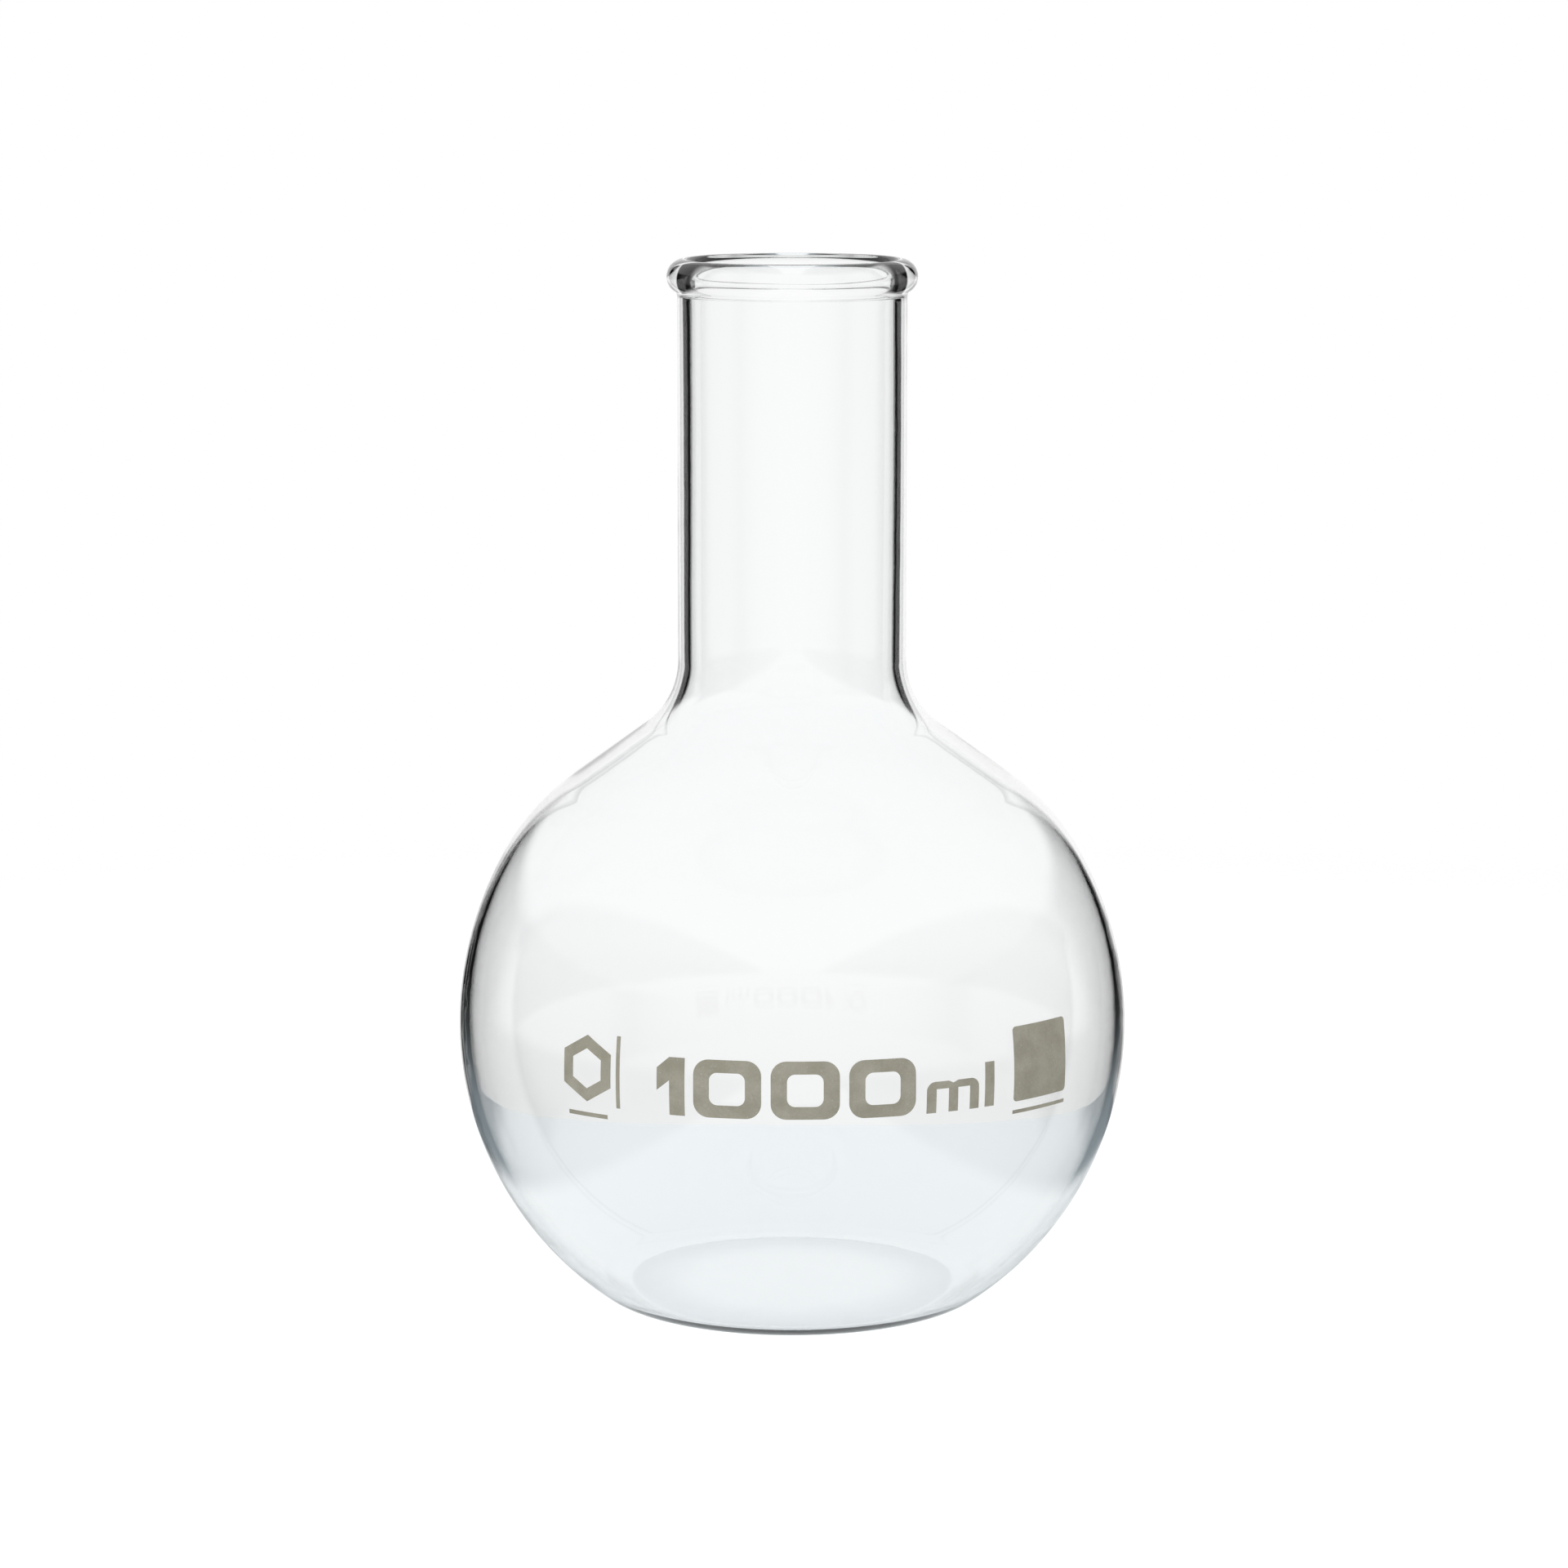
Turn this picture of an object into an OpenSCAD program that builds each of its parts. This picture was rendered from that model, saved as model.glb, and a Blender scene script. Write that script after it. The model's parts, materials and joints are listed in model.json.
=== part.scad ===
// Flat-bottomed round boiling flask, one-litre size, with a short wide neck and a beaded rim.
// The vessel is one blown piece of glass. The marks are separate deposits of fired enamel
// that lie on the outside of the bulb. Millimetres, +Z up. The origin is the centre of the
// flat base, on the plane that the flask stands on. The marks face -Y.

/* [Bulb] */
// Outside diameter of the round bulb
bulb_d = 130.5; // [127:0.5:132]
// Height of the bulb's centre above the bench
bulb_centre_z = 54.8; // [54:0.1:57]
// Glass thickness at the bulb's equator
bulb_wall = 1.6; // [1:0.1:2.5]
// How far the inner sphere sits above the outer one, which thickens the lower bulb
bulb_shift = 0.4; // [0:0.1:1]

/* [Base] */
// Glass thickness at the centre of the base
base_wall = 2.4; // [1.6:0.1:3]
// Radius of the outside heel, between the flat base and the sphere
heel_r = 11; // [4:0.5:16]
// Radius of the inside heel
inner_heel_r = 9; // [4:0.5:14]

/* [Shoulder] */
// Angle above the equator where the bulb stops being a true sphere
bulb_top_a = 10; // [8:1:16]
// Outside radius of the upper bulb arc
upper_r = 69; // [67:0.5:72]
// Angle above the equator where the shoulder arc starts
shoulder_a = 30; // [26:1:32]
// Outside radius of the shoulder arc
shoulder_r = 46; // [44:0.5:52]
// Angle above the equator of the straight slope below the neck
slope_a = 54; // [51:1:56]
// Inside radius of the upper bulb arc
inner_upper_r = 64; // [60:0.5:66]
// Inside radius of the shoulder arc
inner_shoulder_r = 41; // [38:0.5:43]

/* [Neck] */
// Overall height, base to rim
flask_h = 203.7; // [196:0.1:212]
// Outside diameter of the neck
neck_d = 44.3; // [43:0.1:46]
// Glass thickness of the neck
neck_wall = 2.5; // [2:0.1:3]
// Outside radius of the sweep between shoulder and neck
neck_sweep_r = 16; // [12:0.5:20]
// Inside radius of the sweep between shoulder and neck
inner_sweep_r = 17; // [14:0.5:22]

/* [Bead] */
// Radius of the bead's outer curve
bead_r = 3.4; // [3.2:0.1:3.8]
// Radius of the bead's inner lip
lip_r = 1.5; // [1.2:0.1:1.7]
// How far the bead stands out from the neck
bead_out = 2; // [1.8:0.1:2.3]

/* [Marks] */
// Thickness of a fired enamel mark, drawn thicker than the real film
enamel_t = 0.12; // [0.08:0.01:0.3]
// Width of a zero
zero_w = 12.75; // [10:0.05:13]
// Height of the numerals
figure_h = 10.9; // [8:0.1:13]
// Side and end stroke widths of a zero
zero_side = 3; // [1.5:0.1:3.4]
zero_end = 2.4; // [1.5:0.1:3]
// Angle round the bulb between one zero and the next
zero_step = 12.75; // [12:0.05:14]
// Angle round the bulb of the first zero, from the middle of the front
zero_start = -10.7; // [-12:0.1:-9]
// Height of the figures' middle above the bulb's centre
figure_z = 0.3; // [-3:0.1:3]
// Size of the writing patch
patch_w = 14.4; // [8:0.1:15]
patch_h = 14.2; // [8:0.1:15]
// Width across the hexagon emblem's points
hexagon_d = 12.6; // [9:0.1:13]

/* [Hidden] */
bulb_r = bulb_d / 2;
centre = [0, bulb_centre_z];
inner_bulb_r = bulb_r - bulb_wall;
neck_r = neck_d / 2;
bore_r = neck_r - neck_wall;
// the bead is an outer arc and a smaller lip arc that meet tangentially
bead_cr = neck_r + bead_out - bead_r;
lip_cr = bore_r + lip_r;
lip_rise = sqrt(pow(bead_r - lip_r, 2) - pow(lip_cr - bead_cr, 2));
bead_c = [bead_cr, flask_h - lip_r - lip_rise];
lip_c = [lip_cr, flask_h - lip_r];
lip_a = atan2(lip_rise, lip_cr - bead_cr);
bead_foot_a = -acos((neck_r - bead_cr) / bead_r);
glass_colour = [0.86, 0.9, 0.92, 0.35];
enamel_colour = [0.55, 0.54, 0.48];
fn_round = 180;
fn_small = 48;

// Unit vector at an angle
function u(a) = [cos(a), sin(a)];

// The part of a disc beyond the chord between two of its angles
module bulge(c, r, a0, a1) {
    p = c + r * u(a0);
    q = c + r * u(a1);
    out = r * u((a0 + a1) / 2);
    intersection() {
        translate(c)
            circle(r, $fn = fn_round);
        polygon([p, q, q + out, p + out]);
    }
}

// Half section, from the axis out, of a round vessel: flat floor, heel arc, sphere,
// two shoulder arcs, straight slope, neck sweep and straight neck. Every arc is tangent
// to its neighbours. cap lists the points that close the outline back to the axis.
module vessel_section(r, c, floor_z, heel, r1, r2, sweep, neck, cap) {
    heel_a = -asin((c[1] - floor_z - heel) / (r - heel));
    heel_c = c + (r - heel) * u(heel_a);
    s = c + r * u(heel_a);
    c1 = c + (r - r1) * u(bulb_top_a);
    c2 = c1 + (r1 - r2) * u(shoulder_a);
    p1 = c + r * u(bulb_top_a);
    p2 = c1 + r1 * u(shoulder_a);
    p3 = c2 + r2 * u(slope_a);
    foot_r = neck + sweep - sweep * cos(slope_a);
    rise = (p3[0] - foot_r) / sin(slope_a);
    q = p3 + rise * [-sin(slope_a), cos(slope_a)];
    sweep_c = q + sweep * u(slope_a);
    f = [neck, sweep_c[1]];
    difference() {
        union() {
            polygon(concat([[0, floor_z], [heel_c[0], floor_z], s, p1, p2, p3, q, f], cap));
            bulge(heel_c, heel, -90, heel_a);
            bulge(c, r, heel_a, bulb_top_a);
            bulge(c1, r1, bulb_top_a, shoulder_a);
            bulge(c2, r2, shoulder_a, slope_a);
        }
        bulge(sweep_c, sweep, 180, 180 + slope_a);
    }
}

// One-piece blown vessel: base, bulb, shoulder, neck and fire-polished beaded rim
module glass_vessel() {
    bead_foot = bead_c + bead_r * u(bead_foot_a);
    bead_top = bead_c + bead_r * u(lip_a);
    color(glass_colour)
        rotate_extrude($fn = fn_round)
            difference() {
                union() {
                    vessel_section(bulb_r, centre, 0, heel_r, upper_r, shoulder_r, neck_sweep_r, neck_r,
                        [bead_foot, bead_top, [bore_r, lip_c[1]], [0, lip_c[1]]]);
                    bulge(bead_c, bead_r, bead_foot_a, lip_a);
                    bulge(lip_c, lip_r, lip_a, 180);
                }
                vessel_section(inner_bulb_r, centre + [0, bulb_shift], base_wall, inner_heel_r,
                    inner_upper_r, inner_shoulder_r, inner_sweep_r, bore_r,
                    [[bore_r, lip_c[1]], [0, lip_c[1]]]);
            }
}

// A flat outline, drawn in x and y, laid on the bulb as a film at an angle round it
module on_bulb(az) {
    translate([0, 0, bulb_centre_z])
        intersection() {
            rotate([0, 0, az])
                rotate([90, 0, 0])
                    translate([0, 0, bulb_r / 2])
                        linear_extrude(height = bulb_r)
                            children();
            difference() {
                sphere(bulb_r + enamel_t, $fn = fn_round);
                sphere(bulb_r, $fn = fn_round);
            }
        }
}

// Rectangle with round corners, centred
module round_rect(w, h, r) {
    square([w - 2 * r, h], center = true);
    square([w, h - 2 * r], center = true);
    for (x = [-1, 1], y = [-1, 1])
        translate([x * (w / 2 - r), y * (h / 2 - r)])
            circle(r, $fn = fn_small);
}

// One arch of the letter m, standing on its feet
module arch(w, h, stroke) {
    difference() {
        union() {
            translate([0, -h / 2])
                square([w, h], center = true);
            round_rect(w, 4, 1.7);
        }
        translate([0, -h / 2 - 0.6])
            square([w - 2 * stroke, h], center = true);
    }
}

// Figure 1 with a slanted flag
module numeral_one() {
    h = figure_h / 2;
    color(enamel_colour)
        on_bulb(zero_start - 9.6)
            translate([0, figure_z])
                polygon([[2.85, -h], [2.85, h], [-0.2, h], [-2.65, h - 2.1], [-2.65, -0.9],
                         [-0.15, 1.1], [-0.15, -h]]);
}

// Three zeros, each a rounded frame
module numeral_zeros() {
    color(enamel_colour)
        for (i = [0:2])
            on_bulb(zero_start + i * zero_step)
                translate([0, figure_z])
                    difference() {
                        round_rect(zero_w, figure_h, 2.9);
                        round_rect(zero_w - 2 * zero_side, figure_h - 2 * zero_end, 1.5);
                    }
}

// Letter m of the unit
module unit_letter_m() {
    color(enamel_colour)
        on_bulb(27.2)
            translate([0, figure_z - figure_h / 2 + 3.9])
                for (x = [-1, 1])
                    translate([x * 2.3, 0])
                        arch(6.4, 3.9, 1.95);
}

// Letter l of the unit
module unit_letter_l() {
    color(enamel_colour)
        on_bulb(34.2)
            translate([0, figure_z - figure_h / 2 + 4.25])
                square([2.1, 8.5], center = true);
}

// Solid rectangle for writing on in pencil
module writing_patch() {
    color(enamel_colour)
        on_bulb(45.7)
            translate([0, figure_z - figure_h / 2 + patch_h / 2])
                round_rect(patch_w, patch_h, 0.8);
}

// Thin rule below the writing patch
module glass_type_rule() {
    color(enamel_colour)
        on_bulb(45.7)
            translate([0, figure_z - figure_h / 2 - 2])
                square([patch_w, 0.7], center = true);
}

// Plain hexagon ring
module emblem_hexagon() {
    color(enamel_colour)
        on_bulb(-36)
            translate([0, 1.8])
                rotate(30)
                    difference() {
                        circle(d = hexagon_d, $fn = 6);
                        circle(d = hexagon_d - 5, $fn = 6);
                    }
}

// Two plain rules, beside and below the hexagon
module emblem_rules() {
    color(enamel_colour) {
        on_bulb(-29.8)
            translate([0, 1.8])
                square([0.8, hexagon_d + 1], center = true);
        on_bulb(-36)
            translate([0, -7])
                square([9, 0.8], center = true);
    }
}

glass_vessel();
numeral_one();
numeral_zeros();
unit_letter_m();
unit_letter_l();
writing_patch();
glass_type_rule();
emblem_hexagon();
emblem_rules();
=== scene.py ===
import json
import math
import bpy
import bmesh
from mathutils import Matrix, Vector


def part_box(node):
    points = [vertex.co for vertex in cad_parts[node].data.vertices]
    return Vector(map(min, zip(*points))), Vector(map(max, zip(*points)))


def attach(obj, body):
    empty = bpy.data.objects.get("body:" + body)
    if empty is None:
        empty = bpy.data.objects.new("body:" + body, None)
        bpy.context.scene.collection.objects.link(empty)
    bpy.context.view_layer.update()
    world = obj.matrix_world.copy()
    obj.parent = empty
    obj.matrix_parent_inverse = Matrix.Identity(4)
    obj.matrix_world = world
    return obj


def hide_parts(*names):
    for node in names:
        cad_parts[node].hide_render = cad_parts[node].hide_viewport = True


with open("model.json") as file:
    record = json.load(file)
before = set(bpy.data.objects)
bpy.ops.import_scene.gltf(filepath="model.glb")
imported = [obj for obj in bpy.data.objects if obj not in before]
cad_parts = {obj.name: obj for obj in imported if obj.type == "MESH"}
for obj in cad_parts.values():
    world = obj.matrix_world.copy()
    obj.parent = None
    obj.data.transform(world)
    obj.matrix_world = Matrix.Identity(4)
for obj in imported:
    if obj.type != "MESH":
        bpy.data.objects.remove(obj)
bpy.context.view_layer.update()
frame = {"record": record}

# A flat-bottomed boiling flask: one vessel of blown glass with eight marks of fired enamel on it.
# Shapes are worked out in millimetres and degrees and turned into metres as the meshes are made.
# The stage, the lights and the camera are in metres.
MM = 0.001
scene = bpy.context.scene

# ---------------------------------------------------------------- sizes from the frame
mounts = {m["name"]: m for m in frame["record"]["mounts"]}
glass_lo, glass_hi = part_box("glass_vessel")
HEIGHT = glass_hi[2] / MM
BULB_R = round((glass_hi[0] - glass_lo[0]) / 2 / MM, 2)
BORE_R = mounts["neck_bore"]["dims"]["r_mm"]
NECK_R = mounts["neck_clamp_zone"]["dims"]["r_mm"]

# Section of the vessel, the same as in the CAD
BULB_Z = 54.8
BULB_WALL, INNER_RISE, BASE_WALL = 1.6, 0.4, 2.4
TOP_A, SHOULDER_A, SLOPE_A = 10.0, 30.0, 54.0
OUT = dict(r=BULB_R, cz=BULB_Z, floor=0.0, heel=11.0, r1=69.0, r2=46.0, sweep=16.0, neck=NECK_R)
INN = dict(r=BULB_R - BULB_WALL, cz=BULB_Z + INNER_RISE, floor=BASE_WALL, heel=9.0, r1=64.0,
           r2=41.0, sweep=17.0, neck=BORE_R)
BEAD_R, LIP_R, BEAD_OUT = 3.4, 1.5, 2.0
# A small fillet joins the bead to the neck, and the lip runs down into the bore on a long curve
FOOT_R, LIP_DROP = 1.2, 2.5

# Number of steps in each stretch of the section, and round the vessel
STEPS = dict(floor=14, heel=16, sphere=56, upper=12, shoulder=18, slope=12, sweep=20, neck=40,
             foot=10, bead=26, lip=10, roll=20)
ROUND = 256

# Unevenness of blown glass, as waves: strength, number of waves round the axis, share of the
# seed, and turn per millimetre of height. The two surfaces differ in depth and in seed.
WAVES = ((0.5, 2, 1.0, 0.021), (0.3, 3, -1.7, 0.043), (0.2, 5, 2.3, -0.085), (0.25, 0, 3.1, 0.11))
OUTER_DEPTH, OUTER_SEED = 0.03, 1.3
INNER_DEPTH, INNER_SEED = 0.07, 4.1
# The unevenness fades out towards the axis and towards the flat base
CALM_R, CALM_Z, CALM_RISE = 25.0, 1.0, 12.0


# ---------------------------------------------------------------- the vessel
def u(a):
    return Vector((math.cos(math.radians(a)), math.sin(math.radians(a))))


def arc(c, r, a0, a1, n):
    return [c + r * u(a0 + (a1 - a0) * i / n) for i in range(n + 1)]


def line(p, q, n):
    return [p.lerp(q, i / n) for i in range(n + 1)]


def section(r, cz, floor, heel, r1, r2, sweep, neck, top):
    """Points from the axis out and up: floor, heel, sphere, two shoulder arcs, slope, sweep, neck."""
    c = Vector((0, cz))
    heel_a = -math.degrees(math.asin((cz - floor - heel) / (r - heel)))
    heel_c = c + (r - heel) * u(heel_a)
    c1 = c + (r - r1) * u(TOP_A)
    c2 = c1 + (r1 - r2) * u(SHOULDER_A)
    slope_foot = c2 + r2 * u(SLOPE_A)
    slope_sin = math.sin(math.radians(SLOPE_A))
    slope_cos = math.cos(math.radians(SLOPE_A))
    rise = (slope_foot[0] - (neck + sweep - sweep * slope_cos)) / slope_sin
    slope_top = slope_foot + rise * Vector((-slope_sin, slope_cos))
    sweep_c = slope_top + sweep * u(SLOPE_A)
    stretches = [
        line(Vector((0, floor)), Vector((heel_c[0], floor)), STEPS["floor"]),
        arc(heel_c, heel, -90, heel_a, STEPS["heel"]),
        arc(c, r, heel_a, TOP_A, STEPS["sphere"]),
        arc(c1, r1, TOP_A, SHOULDER_A, STEPS["upper"]),
        arc(c2, r2, SHOULDER_A, SLOPE_A, STEPS["shoulder"]),
        line(slope_foot, slope_top, STEPS["slope"]),
        arc(sweep_c, sweep, 180 + SLOPE_A, 180, STEPS["sweep"]),
        line(Vector((neck, sweep_c[1])), Vector((neck, top)), STEPS["neck"]),
    ]
    same = 1e-4
    pts = []
    for p in (p for stretch in stretches for p in stretch):
        if not pts or (p - pts[-1]).length > same:
            pts.append(p)
    return pts


def rim():
    """Points over the rim: fillet, bead, lip, and the long curve down into the bore."""
    bead_x = NECK_R + BEAD_OUT - BEAD_R
    lip_x = BORE_R + LIP_R
    # The bead is an outer arc and a smaller lip arc that meet tangentially
    lip_rise = math.sqrt((BEAD_R - LIP_R) ** 2 - (lip_x - bead_x) ** 2)
    lip_a = math.degrees(math.atan2(lip_rise, lip_x - bead_x))
    bead_c = Vector((bead_x, HEIGHT - LIP_R - lip_rise))
    # The fillet touches the neck and the bead
    foot_x = NECK_R + FOOT_R
    foot_c = Vector((foot_x, bead_c[1] - math.sqrt((BEAD_R + FOOT_R) ** 2 - (foot_x - bead_x) ** 2)))
    foot_a = math.degrees(math.atan2(bead_c[1] - foot_c[1], bead_x - foot_x))
    step = math.pi / 2 / STEPS["roll"]
    roll = [Vector((lip_x - LIP_R * math.sin(k * step), HEIGHT - LIP_DROP * (1 - math.cos(k * step))))
            for k in range(1, STEPS["roll"])]
    return (arc(foot_c, FOOT_R, 180, foot_a, STEPS["foot"])
            + arc(bead_c, BEAD_R, foot_a - 180, lip_a, STEPS["bead"])[1:]
            + arc(Vector((lip_x, HEIGHT - LIP_R)), LIP_R, lip_a, 90, STEPS["lip"])[1:] + roll)


def unevenness(p, a, depth, seed):
    """How far the blown surface stands off its true section at an angle round the axis."""
    z = p[1]
    fade = min(1.0, p[0] / CALM_R) * min(1.0, max(0.0, (z - CALM_Z) / CALM_RISE))
    return depth * fade * sum(k * math.sin(n * a + share * seed + z * turn)
                              for k, n, share, turn in WAVES)


def outer_unevenness(p, a):
    return unevenness(p, a, OUTER_DEPTH, OUTER_SEED)


def inner_unevenness(p, a):
    return unevenness(p, a, INNER_DEPTH, INNER_SEED)


def true_round(p, a):
    return 0.0


def add_object(name, mesh):
    o = bpy.data.objects.new(name, mesh)
    scene.collection.objects.link(o)
    return o


def lathe(name, outer, top, inner):
    """Closed vessel: up the outside, over the rim, down the inside."""
    rings = [(p, outer_unevenness) for p in outer] + [(p, true_round) for p in top]
    rings += [(p, inner_unevenness) for p in inner]
    on_axis = 1e-6
    verts, faces, index = [], [], []
    for p, stand_off in rings:
        if p[0] < on_axis:
            index.append([len(verts)] * ROUND)
            verts.append((0, 0, p[1] * MM))
            continue
        row = []
        for k in range(ROUND):
            a = 2 * math.pi * k / ROUND
            r = (p[0] + stand_off(p, a)) * MM
            row.append(len(verts))
            verts.append((r * math.cos(a), r * math.sin(a), p[1] * MM))
        index.append(row)
    for lower, upper in zip(index, index[1:]):
        for k in range(ROUND):
            m = (k + 1) % ROUND
            face = list(dict.fromkeys((lower[k], lower[m], upper[m], upper[k])))
            if len(face) > 2:
                faces.append(face)
    mesh = bpy.data.meshes.new(name)
    mesh.from_pydata(verts, [], faces)
    mesh.validate()
    mesh.update()
    for f in mesh.polygons:
        f.use_smooth = True
    return add_object(name, mesh)


top = rim()
outer = section(top=top[0][1], **OUT)
inner = section(top=HEIGHT - LIP_DROP, **INN)
vessel = lathe("blown_glass_vessel", outer, top[1:], inner[::-1])

# ---------------------------------------------------------------- enamel marks
# How far a film stands out of the glass, and how far it reaches in
FILM_UP, FILM_DOWN = 0.045, 0.05
# A flat outline is cut into cells of this size, so that it can follow the bulb
CELL, CELL_MARGIN = 0.8, 0.05

# Places are an angle round the bulb from the middle of the front, and a height above its centre
FIG_H, FIG_Z = 10.9, 0.3
FIG_FOOT = FIG_Z - FIG_H / 2
ZERO_AZ, ZERO_STEP = -10.7, 12.75
ONE_AZ = ZERO_AZ - 9.6
M_AZ, L_AZ, PATCH_AZ = 27.2, 34.2, 45.7
HEXAGON_AZ, EMBLEM_SIDE_AZ = -36.0, -29.8
HEXAGON_Z, EMBLEM_FOOT_Z = 1.8, -7.0
# Sizes
ZERO_W, ZERO_SIDE, ZERO_END = 12.75, 3.0, 2.4
ZERO_CORNER, ZERO_HOLE_CORNER = 2.9, 1.5
L_W, L_H = 2.1, 8.5
PATCH_W, PATCH_H, PATCH_CORNER = 14.4, 14.2, 0.8
RULE_T, RULE_DROP = 0.7, 2.0
HEXAGON_D, HEXAGON_HOLE = 12.6, 7.6
EMBLEM_RULE_T, EMBLEM_SIDE_H, EMBLEM_FOOT_W = 0.8, 13.6, 9.0
CORNER_STEPS = 8


def rounded(w, h, r):
    """Rectangle with round corners, centred."""
    pts = []
    for sx, sy, a0 in ((1, 1, 0), (-1, 1, 90), (-1, -1, 180), (1, -1, 270)):
        pts += arc(Vector((sx * (w / 2 - r), sy * (h / 2 - r))), r, a0, a0 + 90, CORNER_STEPS)
    return pts


def rectangle(w, h):
    return [Vector((sx * w / 2, sy * h / 2)) for sx, sy in ((1, 1), (-1, 1), (-1, -1), (1, -1))]


def hexagon(d):
    return [d / 2 * u(30 + 60 * k) for k in range(6)]


def figure_one():
    h = FIG_H / 2
    return [Vector(p) for p in [(2.85, -h), (2.85, h), (-0.2, h), (-2.65, h - 2.1), (-2.65, -0.9),
                                (-0.15, 1.1), (-0.15, -h)]]


def letter_m():
    """Outline of a low, wide m with two round arches, standing on its feet."""
    half_w, h, stroke, bar, corner = 5.5, 5.9, 1.95, 1.4, 1.7
    notch_w, notch_h = 1.0, 0.45
    under = h - bar
    feet = [(-half_w, 0), (-half_w + stroke, 0), (-half_w + stroke, under),
            (-stroke / 2, under), (-stroke / 2, 0), (stroke / 2, 0), (stroke / 2, under),
            (half_w - stroke, under), (half_w - stroke, 0), (half_w, 0)]
    notch = [(notch_w, h), (0, h - notch_h), (-notch_w, h)]
    right = arc(Vector((half_w - corner, h - corner)), corner, 0, 90, CORNER_STEPS)
    left = arc(Vector((-half_w + corner, h - corner)), corner, 90, 180, CORNER_STEPS)
    return [Vector(p) for p in feet] + right + [Vector(p) for p in notch] + left


def flat_mark(loops):
    """A filled flat outline, cut into cells, with its faces turned up."""
    bm = bmesh.new()
    edges = []
    for loop in loops:
        vs = [bm.verts.new((p[0], p[1], 0)) for p in loop]
        edges += [bm.edges.new(pair) for pair in zip(vs, vs[1:] + vs[:1])]
    bmesh.ops.triangle_fill(bm, edges=edges, use_beauty=True)
    for axis in (Vector((1, 0, 0)), Vector((0, 1, 0))):
        reach = [v.co.dot(axis) for v in bm.verts]
        at = min(reach) + CELL
        while at < max(reach) - CELL_MARGIN:
            bmesh.ops.bisect_plane(bm, geom=bm.verts[:] + bm.edges[:] + bm.faces[:],
                                   plane_co=axis * at, plane_no=axis)
            at += CELL
    bmesh.ops.recalc_face_normals(bm, faces=bm.faces)
    if bm.faces[:][0].normal.z < 0:
        bmesh.ops.reverse_faces(bm, faces=bm.faces)
    return bm


def wrap(bm, top, az, height):
    """Lay a flat film on the uneven outside of the bulb; top holds its upper vertices."""
    turn = Matrix.Rotation(math.radians(az), 4, "Z")
    for v in bm.verts:
        x, z = v.co.x, v.co.y + height
        y = -math.sqrt(max(0.0, BULB_R * BULB_R - x * x - z * z))
        p = turn @ Vector((x, y, z))
        ring = Vector((math.hypot(p.x, p.y), z + BULB_Z))
        swell = outer_unevenness(ring, math.atan2(p.y, p.x))
        outward = Vector((p.x, p.y, 0)).normalized()
        lift = FILM_UP if v in top else -FILM_DOWN
        q = p + outward * swell + p.normalized() * lift
        v.co = Vector((q.x, q.y, q.z + BULB_Z)) * MM


def film(name, marks):
    """One enamel piece. Each mark is an angle round the bulb, a height and its outline loops."""
    verts, faces = [], []
    for az, height, loops in marks:
        bm = flat_mark(loops)
        raised = bmesh.ops.extrude_face_region(bm, geom=bm.faces[:])
        top = {v for v in raised["geom"] if isinstance(v, bmesh.types.BMVert)}
        wrap(bm, top, az, height)
        bmesh.ops.recalc_face_normals(bm, faces=bm.faces)
        bm.verts.index_update()
        before = len(verts)
        verts += [v.co.copy() for v in bm.verts]
        # An extrusion lists its faces and their corners in no fixed order, so both are put in order
        for f in bm.faces:
            corners = [before + v.index for v in f.verts]
            first = corners.index(min(corners))
            faces.append(corners[first:] + corners[:first])
        bm.free()
    mesh = bpy.data.meshes.new(name)
    mesh.from_pydata(verts, [], sorted(faces))
    return add_object(name, mesh)


zero = [rounded(ZERO_W, FIG_H, ZERO_CORNER),
        rounded(ZERO_W - 2 * ZERO_SIDE, FIG_H - 2 * ZERO_END, ZERO_HOLE_CORNER)]
marks = {
    "numeral_one": [(ONE_AZ, FIG_Z, [figure_one()])],
    "numeral_zeros": [(ZERO_AZ + i * ZERO_STEP, FIG_Z, zero) for i in range(3)],
    "unit_letter_m": [(M_AZ, FIG_FOOT, [letter_m()])],
    "unit_letter_l": [(L_AZ, FIG_FOOT + L_H / 2, [rectangle(L_W, L_H)])],
    "writing_patch": [(PATCH_AZ, FIG_FOOT + PATCH_H / 2, [rounded(PATCH_W, PATCH_H, PATCH_CORNER)])],
    "glass_type_rule": [(PATCH_AZ, FIG_FOOT - RULE_DROP, [rectangle(PATCH_W, RULE_T)])],
    "emblem_hexagon": [(HEXAGON_AZ, HEXAGON_Z, [hexagon(HEXAGON_D), hexagon(HEXAGON_HOLE)])],
    "emblem_rules": [(EMBLEM_SIDE_AZ, HEXAGON_Z, [rectangle(EMBLEM_RULE_T, EMBLEM_SIDE_H)]),
                     (HEXAGON_AZ, EMBLEM_FOOT_Z, [rectangle(EMBLEM_FOOT_W, EMBLEM_RULE_T)])],
}
films = {name: film(name + "_film", mark) for name, mark in marks.items()}

# ---------------------------------------------------------------- shader helpers
# Numbers of the sockets on a Mix node: factor, the two values, and the result
MIX_COLOUR = dict(factor=0, a=6, b=7, result=2)
MIX_FLOAT = dict(factor=0, a=2, b=3, result=0)


def clear_nodes(tree):
    for n in list(tree.nodes):
        tree.nodes.remove(n)
    return tree


def new_material(name):
    m = bpy.data.materials.new(name)
    m.use_nodes = True
    return m, clear_nodes(m.node_tree)


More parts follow.
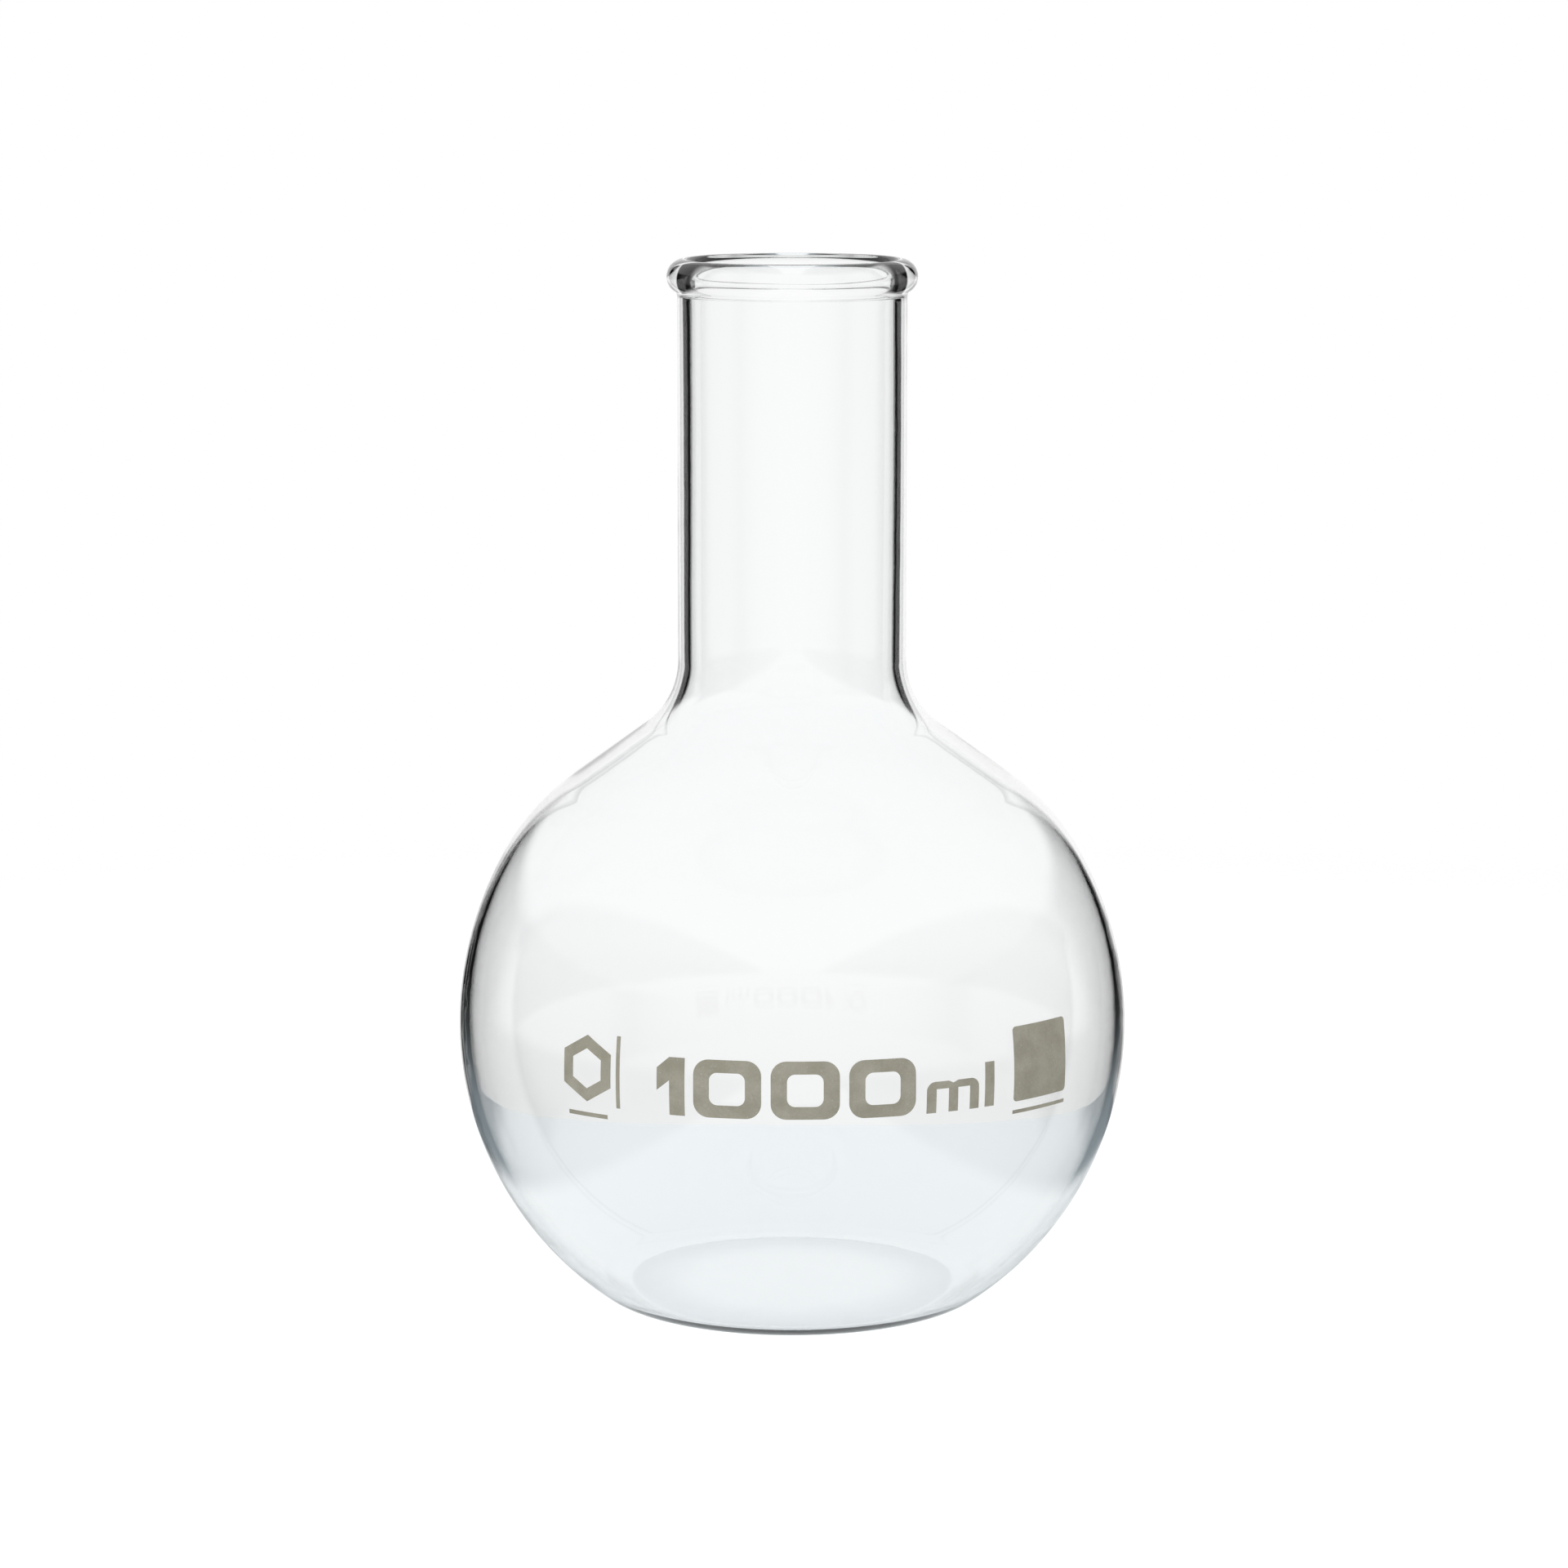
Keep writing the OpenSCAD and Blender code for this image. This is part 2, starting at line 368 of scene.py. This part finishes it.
def node(nt, kind, inputs=None, **settings):
    """Add a shader node; an input takes a value or the socket that feeds it."""
    n = nt.nodes.new("ShaderNode" + kind)
    for key, value in settings.items():
        setattr(n, key, value)
    for key, value in (inputs or {}).items():
        if isinstance(value, bpy.types.NodeSocket):
            nt.links.new(value, n.inputs[key])
        else:
            n.inputs[key].default_value = value
    return n


def calc(nt, operation, a, b=None):
    """Result of a Math node on values or sockets."""
    inputs = {0: a} if b is None else {0: a, 1: b}
    return node(nt, "Math", inputs, operation=operation).outputs[0]


def smooth(nt, value, lo, hi):
    """Smooth step from 0 at lo to 1 at hi."""
    inputs = {"Value": value, "From Min": lo, "From Max": hi}
    return node(nt, "MapRange", inputs, interpolation_type="SMOOTHSTEP", clamp=True).outputs[0]


def inverse(nt, value):
    return calc(nt, "SUBTRACT", 1.0, value)


def between(nt, share, lo, hi):
    """From lo at share 0 to hi at share 1."""
    return calc(nt, "ADD", calc(nt, "MULTIPLY", share, hi - lo), lo)


def blend_colour(nt, share, a, b):
    s = MIX_COLOUR
    inputs = {s["factor"]: share, s["a"]: a, s["b"]: b}
    return node(nt, "Mix", inputs, data_type="RGBA").outputs[s["result"]]


def blend_float(nt, share, a, b):
    s = MIX_FLOAT
    inputs = {s["factor"]: share, s["a"]: a, s["b"]: b}
    return node(nt, "Mix", inputs, data_type="FLOAT").outputs[s["result"]]


def blend_shader(nt, share, a, b):
    return node(nt, "MixShader", {0: share, 1: a, 2: b}).outputs[0]


# ---------------------------------------------------------------- materials
GLASS = dict(tint=(0.995, 1.0, 1.0, 1), ior=1.473, shadow=(0.985, 0.987, 0.988, 1),
             cord_stretch=(1.0, 1.0, 2.4), cord_scale=55.0, cord_detail=1.5,
             cord_strength=0.35, cord_depth=0.00008)
ENAMEL = dict(dark=(0.235, 0.224, 0.172, 1), pale=(0.30, 0.287, 0.232, 1), dark_at=0.38, pale_at=0.64,
              cloud_scale=260.0, cloud_detail=4.0, cloud_share=0.65,
              grain_scale=2600.0, grain_detail=3.0, grain_share=0.35,
              hole=(0.52, 0.52, 0.48, 1), hole_scale=900.0, hole_from=0.05, hole_to=0.11,
              hole_share=0.5, rough=0.42, rough_range=0.3, bump_strength=0.25, bump_depth=0.00006)


def glass_material():
    m, nt = new_material("borosilicate_glass")
    # Faint cords: slow waves in the blown surface, drawn out round the axis
    place = node(nt, "TexCoord").outputs["Object"]
    stretch = node(nt, "Mapping", {"Vector": place, "Scale": GLASS["cord_stretch"]}).outputs[0]
    cords = node(nt, "TexNoise", {"Vector": stretch, "Scale": GLASS["cord_scale"],
                                  "Detail": GLASS["cord_detail"]}).outputs[0]
    bump = node(nt, "Bump", {"Height": cords, "Strength": GLASS["cord_strength"],
                             "Distance": GLASS["cord_depth"]}).outputs[0]
    glass = node(nt, "BsdfPrincipled", {"Base Color": GLASS["tint"], "Roughness": 0.0,
                                        "IOR": GLASS["ior"], "Transmission Weight": 1.0,
                                        "Normal": bump}).outputs[0]
    # Light for matt surfaces and for shadows passes straight through, so the floor stays pale
    clear = node(nt, "BsdfTransparent", {"Color": GLASS["shadow"]}).outputs[0]
    path = node(nt, "LightPath")
    spread = blend_shader(nt, path.outputs["Is Diffuse Ray"], glass, clear)
    surface = blend_shader(nt, path.outputs["Is Shadow Ray"], spread, clear)
    node(nt, "OutputMaterial", {"Surface": surface})
    return m


def enamel_material():
    """Printed ceramic ink: uneven density, pinholes and a faintly grainy surface."""
    m, nt = new_material("fired_enamel")
    e = ENAMEL
    place = node(nt, "TexCoord").outputs["Object"]
    cloud = node(nt, "TexNoise", {"Vector": place, "Scale": e["cloud_scale"],
                                  "Detail": e["cloud_detail"]}).outputs[0]
    grain = node(nt, "TexNoise", {"Vector": place, "Scale": e["grain_scale"],
                                  "Detail": e["grain_detail"]}).outputs[0]
    cells = node(nt, "TexVoronoi", {"Vector": place, "Scale": e["hole_scale"]}).outputs["Distance"]
    density = calc(nt, "ADD", calc(nt, "MULTIPLY", cloud, e["cloud_share"]),
                   calc(nt, "MULTIPLY", grain, e["grain_share"]))
    tone = node(nt, "ValToRGB", {0: density})
    for stop, at, colour in zip(tone.color_ramp.elements, ("dark_at", "pale_at"), ("dark", "pale")):
        stop.position = e[at]
        stop.color = e[colour]
    pinhole = inverse(nt, smooth(nt, cells, e["hole_from"], e["hole_to"]))
    colour = blend_colour(nt, calc(nt, "MULTIPLY", pinhole, e["hole_share"]), tone.outputs[0], e["hole"])
    rough = calc(nt, "ADD", calc(nt, "MULTIPLY", grain, e["rough_range"]), e["rough"])
    bump = node(nt, "Bump", {"Height": grain, "Strength": e["bump_strength"],
                             "Distance": e["bump_depth"]}).outputs[0]
    ink = node(nt, "BsdfPrincipled", {"Base Color": colour, "Roughness": rough, "Normal": bump})
    node(nt, "OutputMaterial", {"Surface": ink.outputs[0]})
    return m


vessel.data.materials.append(glass_material())
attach(vessel, "root")
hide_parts("glass_vessel")

enamel = enamel_material()
for name, o in films.items():
    o.data.materials.append(enamel)
    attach(o, "root")
    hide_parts(name)

# ---------------------------------------------------------------- stage
scene.view_settings.view_transform = "Standard"
scene.view_settings.look = "None"

# The room, as seen by way of the glass. It is dark, with pale walls far out to the left and right,
# a glow straight ahead and a bright ceiling. The bounds are components of a unit direction, taken
# across and along the camera's view, and upwards for the ceiling.
ROOM = dict(dark=0.008, left=0.6, right=0.65, flank=0.86, flank_soft=0.16, middle_soft=0.02,
            behind=0.80, behind_from=-0.05, behind_to=0.95,
            over=0.85, over_left=0.22, over_right=0.28, over_soft=0.06)

# The floor is a round table top. Seen by way of the glass its colour is painted shade: a pale strip
# ahead of the camera, darker than the floor itself, that falls off from blue-grey to nearly black beside
# it.
FLOOR = dict(r=0.55, fade=0.20, lip=0.002, drop=0.00005, sides=96,
             colour=(0.94, 0.945, 0.95, 1), through_glass_painted_shade=(0.700, 0.730, 0.745, 1),
             half=0.082, soft=0.008, shift=0.001,
             fall_from=0.09, fall_to=0.19, near=(0.20, 0.235, 0.255, 1), far=(0.015, 0.015, 0.014, 1))
# Contact shade: the floor under the flat base is darker towards the heel, seen through the glass
SHADE = dict(r=0.0318, width=0.014, edge=0.0008, share=0.22, colour=(0.05, 0.13, 0.19, 1))

# The soft key light above and in front, which only lights matt surfaces
KEY = dict(size=1.2, power=8.0, at=(-0.4, -0.5, 1.3), aim=(0, 0, 0.05))

# The eye is in front of the axis and above the rim, looking slightly down
CAMERA = dict(at=(-0.0015885, -0.95, 0.255), tilt=9.17, lens=113.2556, sensor=36.0, near=0.05)

# A bright panel close behind the flask, fixed to the camera, lights the glass from behind. Its
# sides draw the dark edges of the glass, and it is a little dimmer low down.
PANEL = dict(back=0.15, half=0.113, soft=0.014, shift=0.004, top=0.40, bottom=-0.16,
             bright=0.985, low=0.905, low_to=-0.085, bright_from=-0.03)


def studio_world():
    """The room. The camera itself, and matt surfaces, see plain white."""
    scene.world = bpy.data.worlds.new("studio")
    scene.world.use_nodes = True
    nt = clear_nodes(scene.world.node_tree)
    r = ROOM
    tex = node(nt, "TexCoord")
    path = node(nt, "LightPath")
    own = node(nt, "SeparateXYZ", {0: tex.outputs["Camera"]})
    sideways, ahead = own.outputs[0], calc(nt, "MULTIPLY", own.outputs[2], -1.0)
    up = node(nt, "SeparateXYZ", {0: tex.outputs["Generated"]}).outputs[2]
    rightward = smooth(nt, sideways, -r["middle_soft"], r["middle_soft"])
    far_out = smooth(nt, calc(nt, "ABSOLUTE", sideways), r["flank"] - r["flank_soft"] / 2,
                     r["flank"] + r["flank_soft"] / 2)
    flank = calc(nt, "MULTIPLY", between(nt, rightward, r["left"], r["right"]), far_out)
    behind = calc(nt, "MULTIPLY", smooth(nt, ahead, r["behind_from"], r["behind_to"]), r["behind"])
    above = calc(nt, "SUBTRACT", up, between(nt, rightward, r["over_left"], r["over_right"]))
    over = calc(nt, "MULTIPLY", smooth(nt, above, -r["over_soft"], r["over_soft"]), r["over"])
    room = r["dark"]
    for light in (flank, behind, over):
        room = calc(nt, "MAXIMUM", light, room)
    by_matt = calc(nt, "MINIMUM", path.outputs["Diffuse Depth"], 1.0)
    plain = calc(nt, "MAXIMUM", by_matt, path.outputs["Is Camera Ray"])
    background = node(nt, "Background", {"Color": (1, 1, 1, 1),
                                         "Strength": blend_float(nt, plain, room, 1.0)})
    node(nt, "OutputWorld", {0: background.outputs[0]})


def matt(nt, colour):
    return node(nt, "BsdfDiffuse", {"Color": colour}).outputs[0]


def floor_material():
    m, nt = new_material("pale_floor_with_painted_shade")
    f = FLOOR
    path = node(nt, "LightPath")
    place = node(nt, "NewGeometry").outputs["Position"]
    from_axis = node(nt, "VectorMath", {0: place}, operation="LENGTH").outputs["Value"]
    own = node(nt, "SeparateXYZ", {0: node(nt, "TexCoord").outputs["Camera"]})
    across = calc(nt, "ABSOLUTE", calc(nt, "SUBTRACT", own.outputs[0], f["shift"]))
    by_glass = calc(nt, "MAXIMUM", path.outputs["Is Transmission Ray"], path.outputs["Is Glossy Ray"])

    under_base = inverse(nt, smooth(nt, from_axis, SHADE["r"], SHADE["r"] + SHADE["edge"]))
    to_heel = smooth(nt, from_axis, SHADE["r"] - SHADE["width"], SHADE["r"])
    shade = calc(nt, "MULTIPLY", calc(nt, "MULTIPLY", to_heel, under_base), SHADE["share"])
    # Painted shade: seen by way of the glass the floor is painted a darker blue-grey, with the painted
    # contact shade over it
    through_glass_painted_shade = blend_shader(nt, shade, matt(nt, f["through_glass_painted_shade"]), matt(nt, SHADE["colour"]))
    strip_with_painted_shade = blend_shader(nt, by_glass, matt(nt, f["colour"]), through_glass_painted_shade)

    # Painted shade: beside the pale strip, the floor seen by way of the glass is painted from blue-grey
    # to nearly black
    painted_shade_falloff = blend_colour(nt, smooth(nt, across, f["fall_from"], f["fall_to"]), f["near"], f["far"])
    painted_shade_beside = smooth(nt, across, f["half"] - f["soft"], f["half"] + f["soft"])
    top = blend_shader(nt, calc(nt, "MULTIPLY", painted_shade_beside, by_glass), strip_with_painted_shade, matt(nt, painted_shade_falloff))

    # The floor fades out towards its rim, so it has no visible edge
    fade = smooth(nt, from_axis, f["r"] - f["fade"], f["r"] - f["lip"])
    surface = blend_shader(nt, fade, top, node(nt, "BsdfTransparent").outputs[0])
    node(nt, "OutputMaterial", {"Surface": surface})
    return m


def add_floor():
    n = FLOOR["sides"]
    mesh = bpy.data.meshes.new("floor")
    mesh.from_pydata([(FLOOR["r"] * u(360 * k / n)).to_3d() for k in range(n)], [], [list(range(n))])
    mesh.materials.append(floor_material())
    o = add_object("floor", mesh)
    o.location.z = -FLOOR["drop"]


def add_key_light():
    light = bpy.data.lights.new("soft_key", "AREA")
    light.shape = "RECTANGLE"
    light.size = KEY["size"]
    light.size_y = KEY["size"]
    light.energy = KEY["power"]
    o = add_object("soft_key", light)
    o.location = KEY["at"]
    o.rotation_euler = (Vector(KEY["aim"]) - Vector(KEY["at"])).to_track_quat("-Z", "Y").to_euler()
    o.visible_glossy = False
    o.visible_transmission = False
    o.visible_camera = False


def add_camera():
    lens = bpy.data.cameras.new("camera")
    lens.sensor_width = CAMERA["sensor"]
    lens.lens = CAMERA["lens"]
    lens.clip_start = CAMERA["near"]
    o = add_object("camera", lens)
    o.location = CAMERA["at"]
    o.rotation_euler = (math.radians(90 - CAMERA["tilt"]), 0, 0)
    scene.camera = o
    return o


def panel_material():
    m, nt = new_material("panel_light")
    p = PANEL
    place = node(nt, "SeparateXYZ", {0: node(nt, "TexCoord").outputs["Object"]})
    glow = between(nt, smooth(nt, place.outputs[1], p["low_to"], p["bright_from"]), p["low"], p["bright"])
    across = calc(nt, "ABSOLUTE", calc(nt, "SUBTRACT", place.outputs[0], p["shift"]))
    inside = inverse(nt, smooth(nt, across, p["half"] - p["soft"], p["half"]))
    light = node(nt, "Emission", {"Strength": calc(nt, "MULTIPLY", glow, inside)})
    node(nt, "OutputMaterial", {"Surface": light.outputs[0]})
    return m


def add_panel(camera):
    left, right = PANEL["shift"] - PANEL["half"], PANEL["shift"] + PANEL["half"]
    bottom, top = PANEL["bottom"], PANEL["top"]
    mesh = bpy.data.meshes.new("back_panel")
    mesh.from_pydata([(left, bottom, 0), (right, bottom, 0), (right, top, 0), (left, top, 0)], [],
                     [(0, 1, 2, 3)])
    mesh.materials.append(panel_material())
    o = add_object("back_panel", mesh)
    tilt = math.radians(CAMERA["tilt"])
    look = Vector((0, math.cos(tilt), -math.sin(tilt)))
    middle = Vector((0, 0, HEIGHT * MM / 2))
    o.parent = camera
    o.location = (0, 0, -((middle - camera.location).dot(look) + PANEL["back"]))
    o.visible_camera = False
    o.visible_diffuse = False
    o.visible_shadow = False


studio_world()
add_floor()
add_key_light()
add_panel(add_camera())
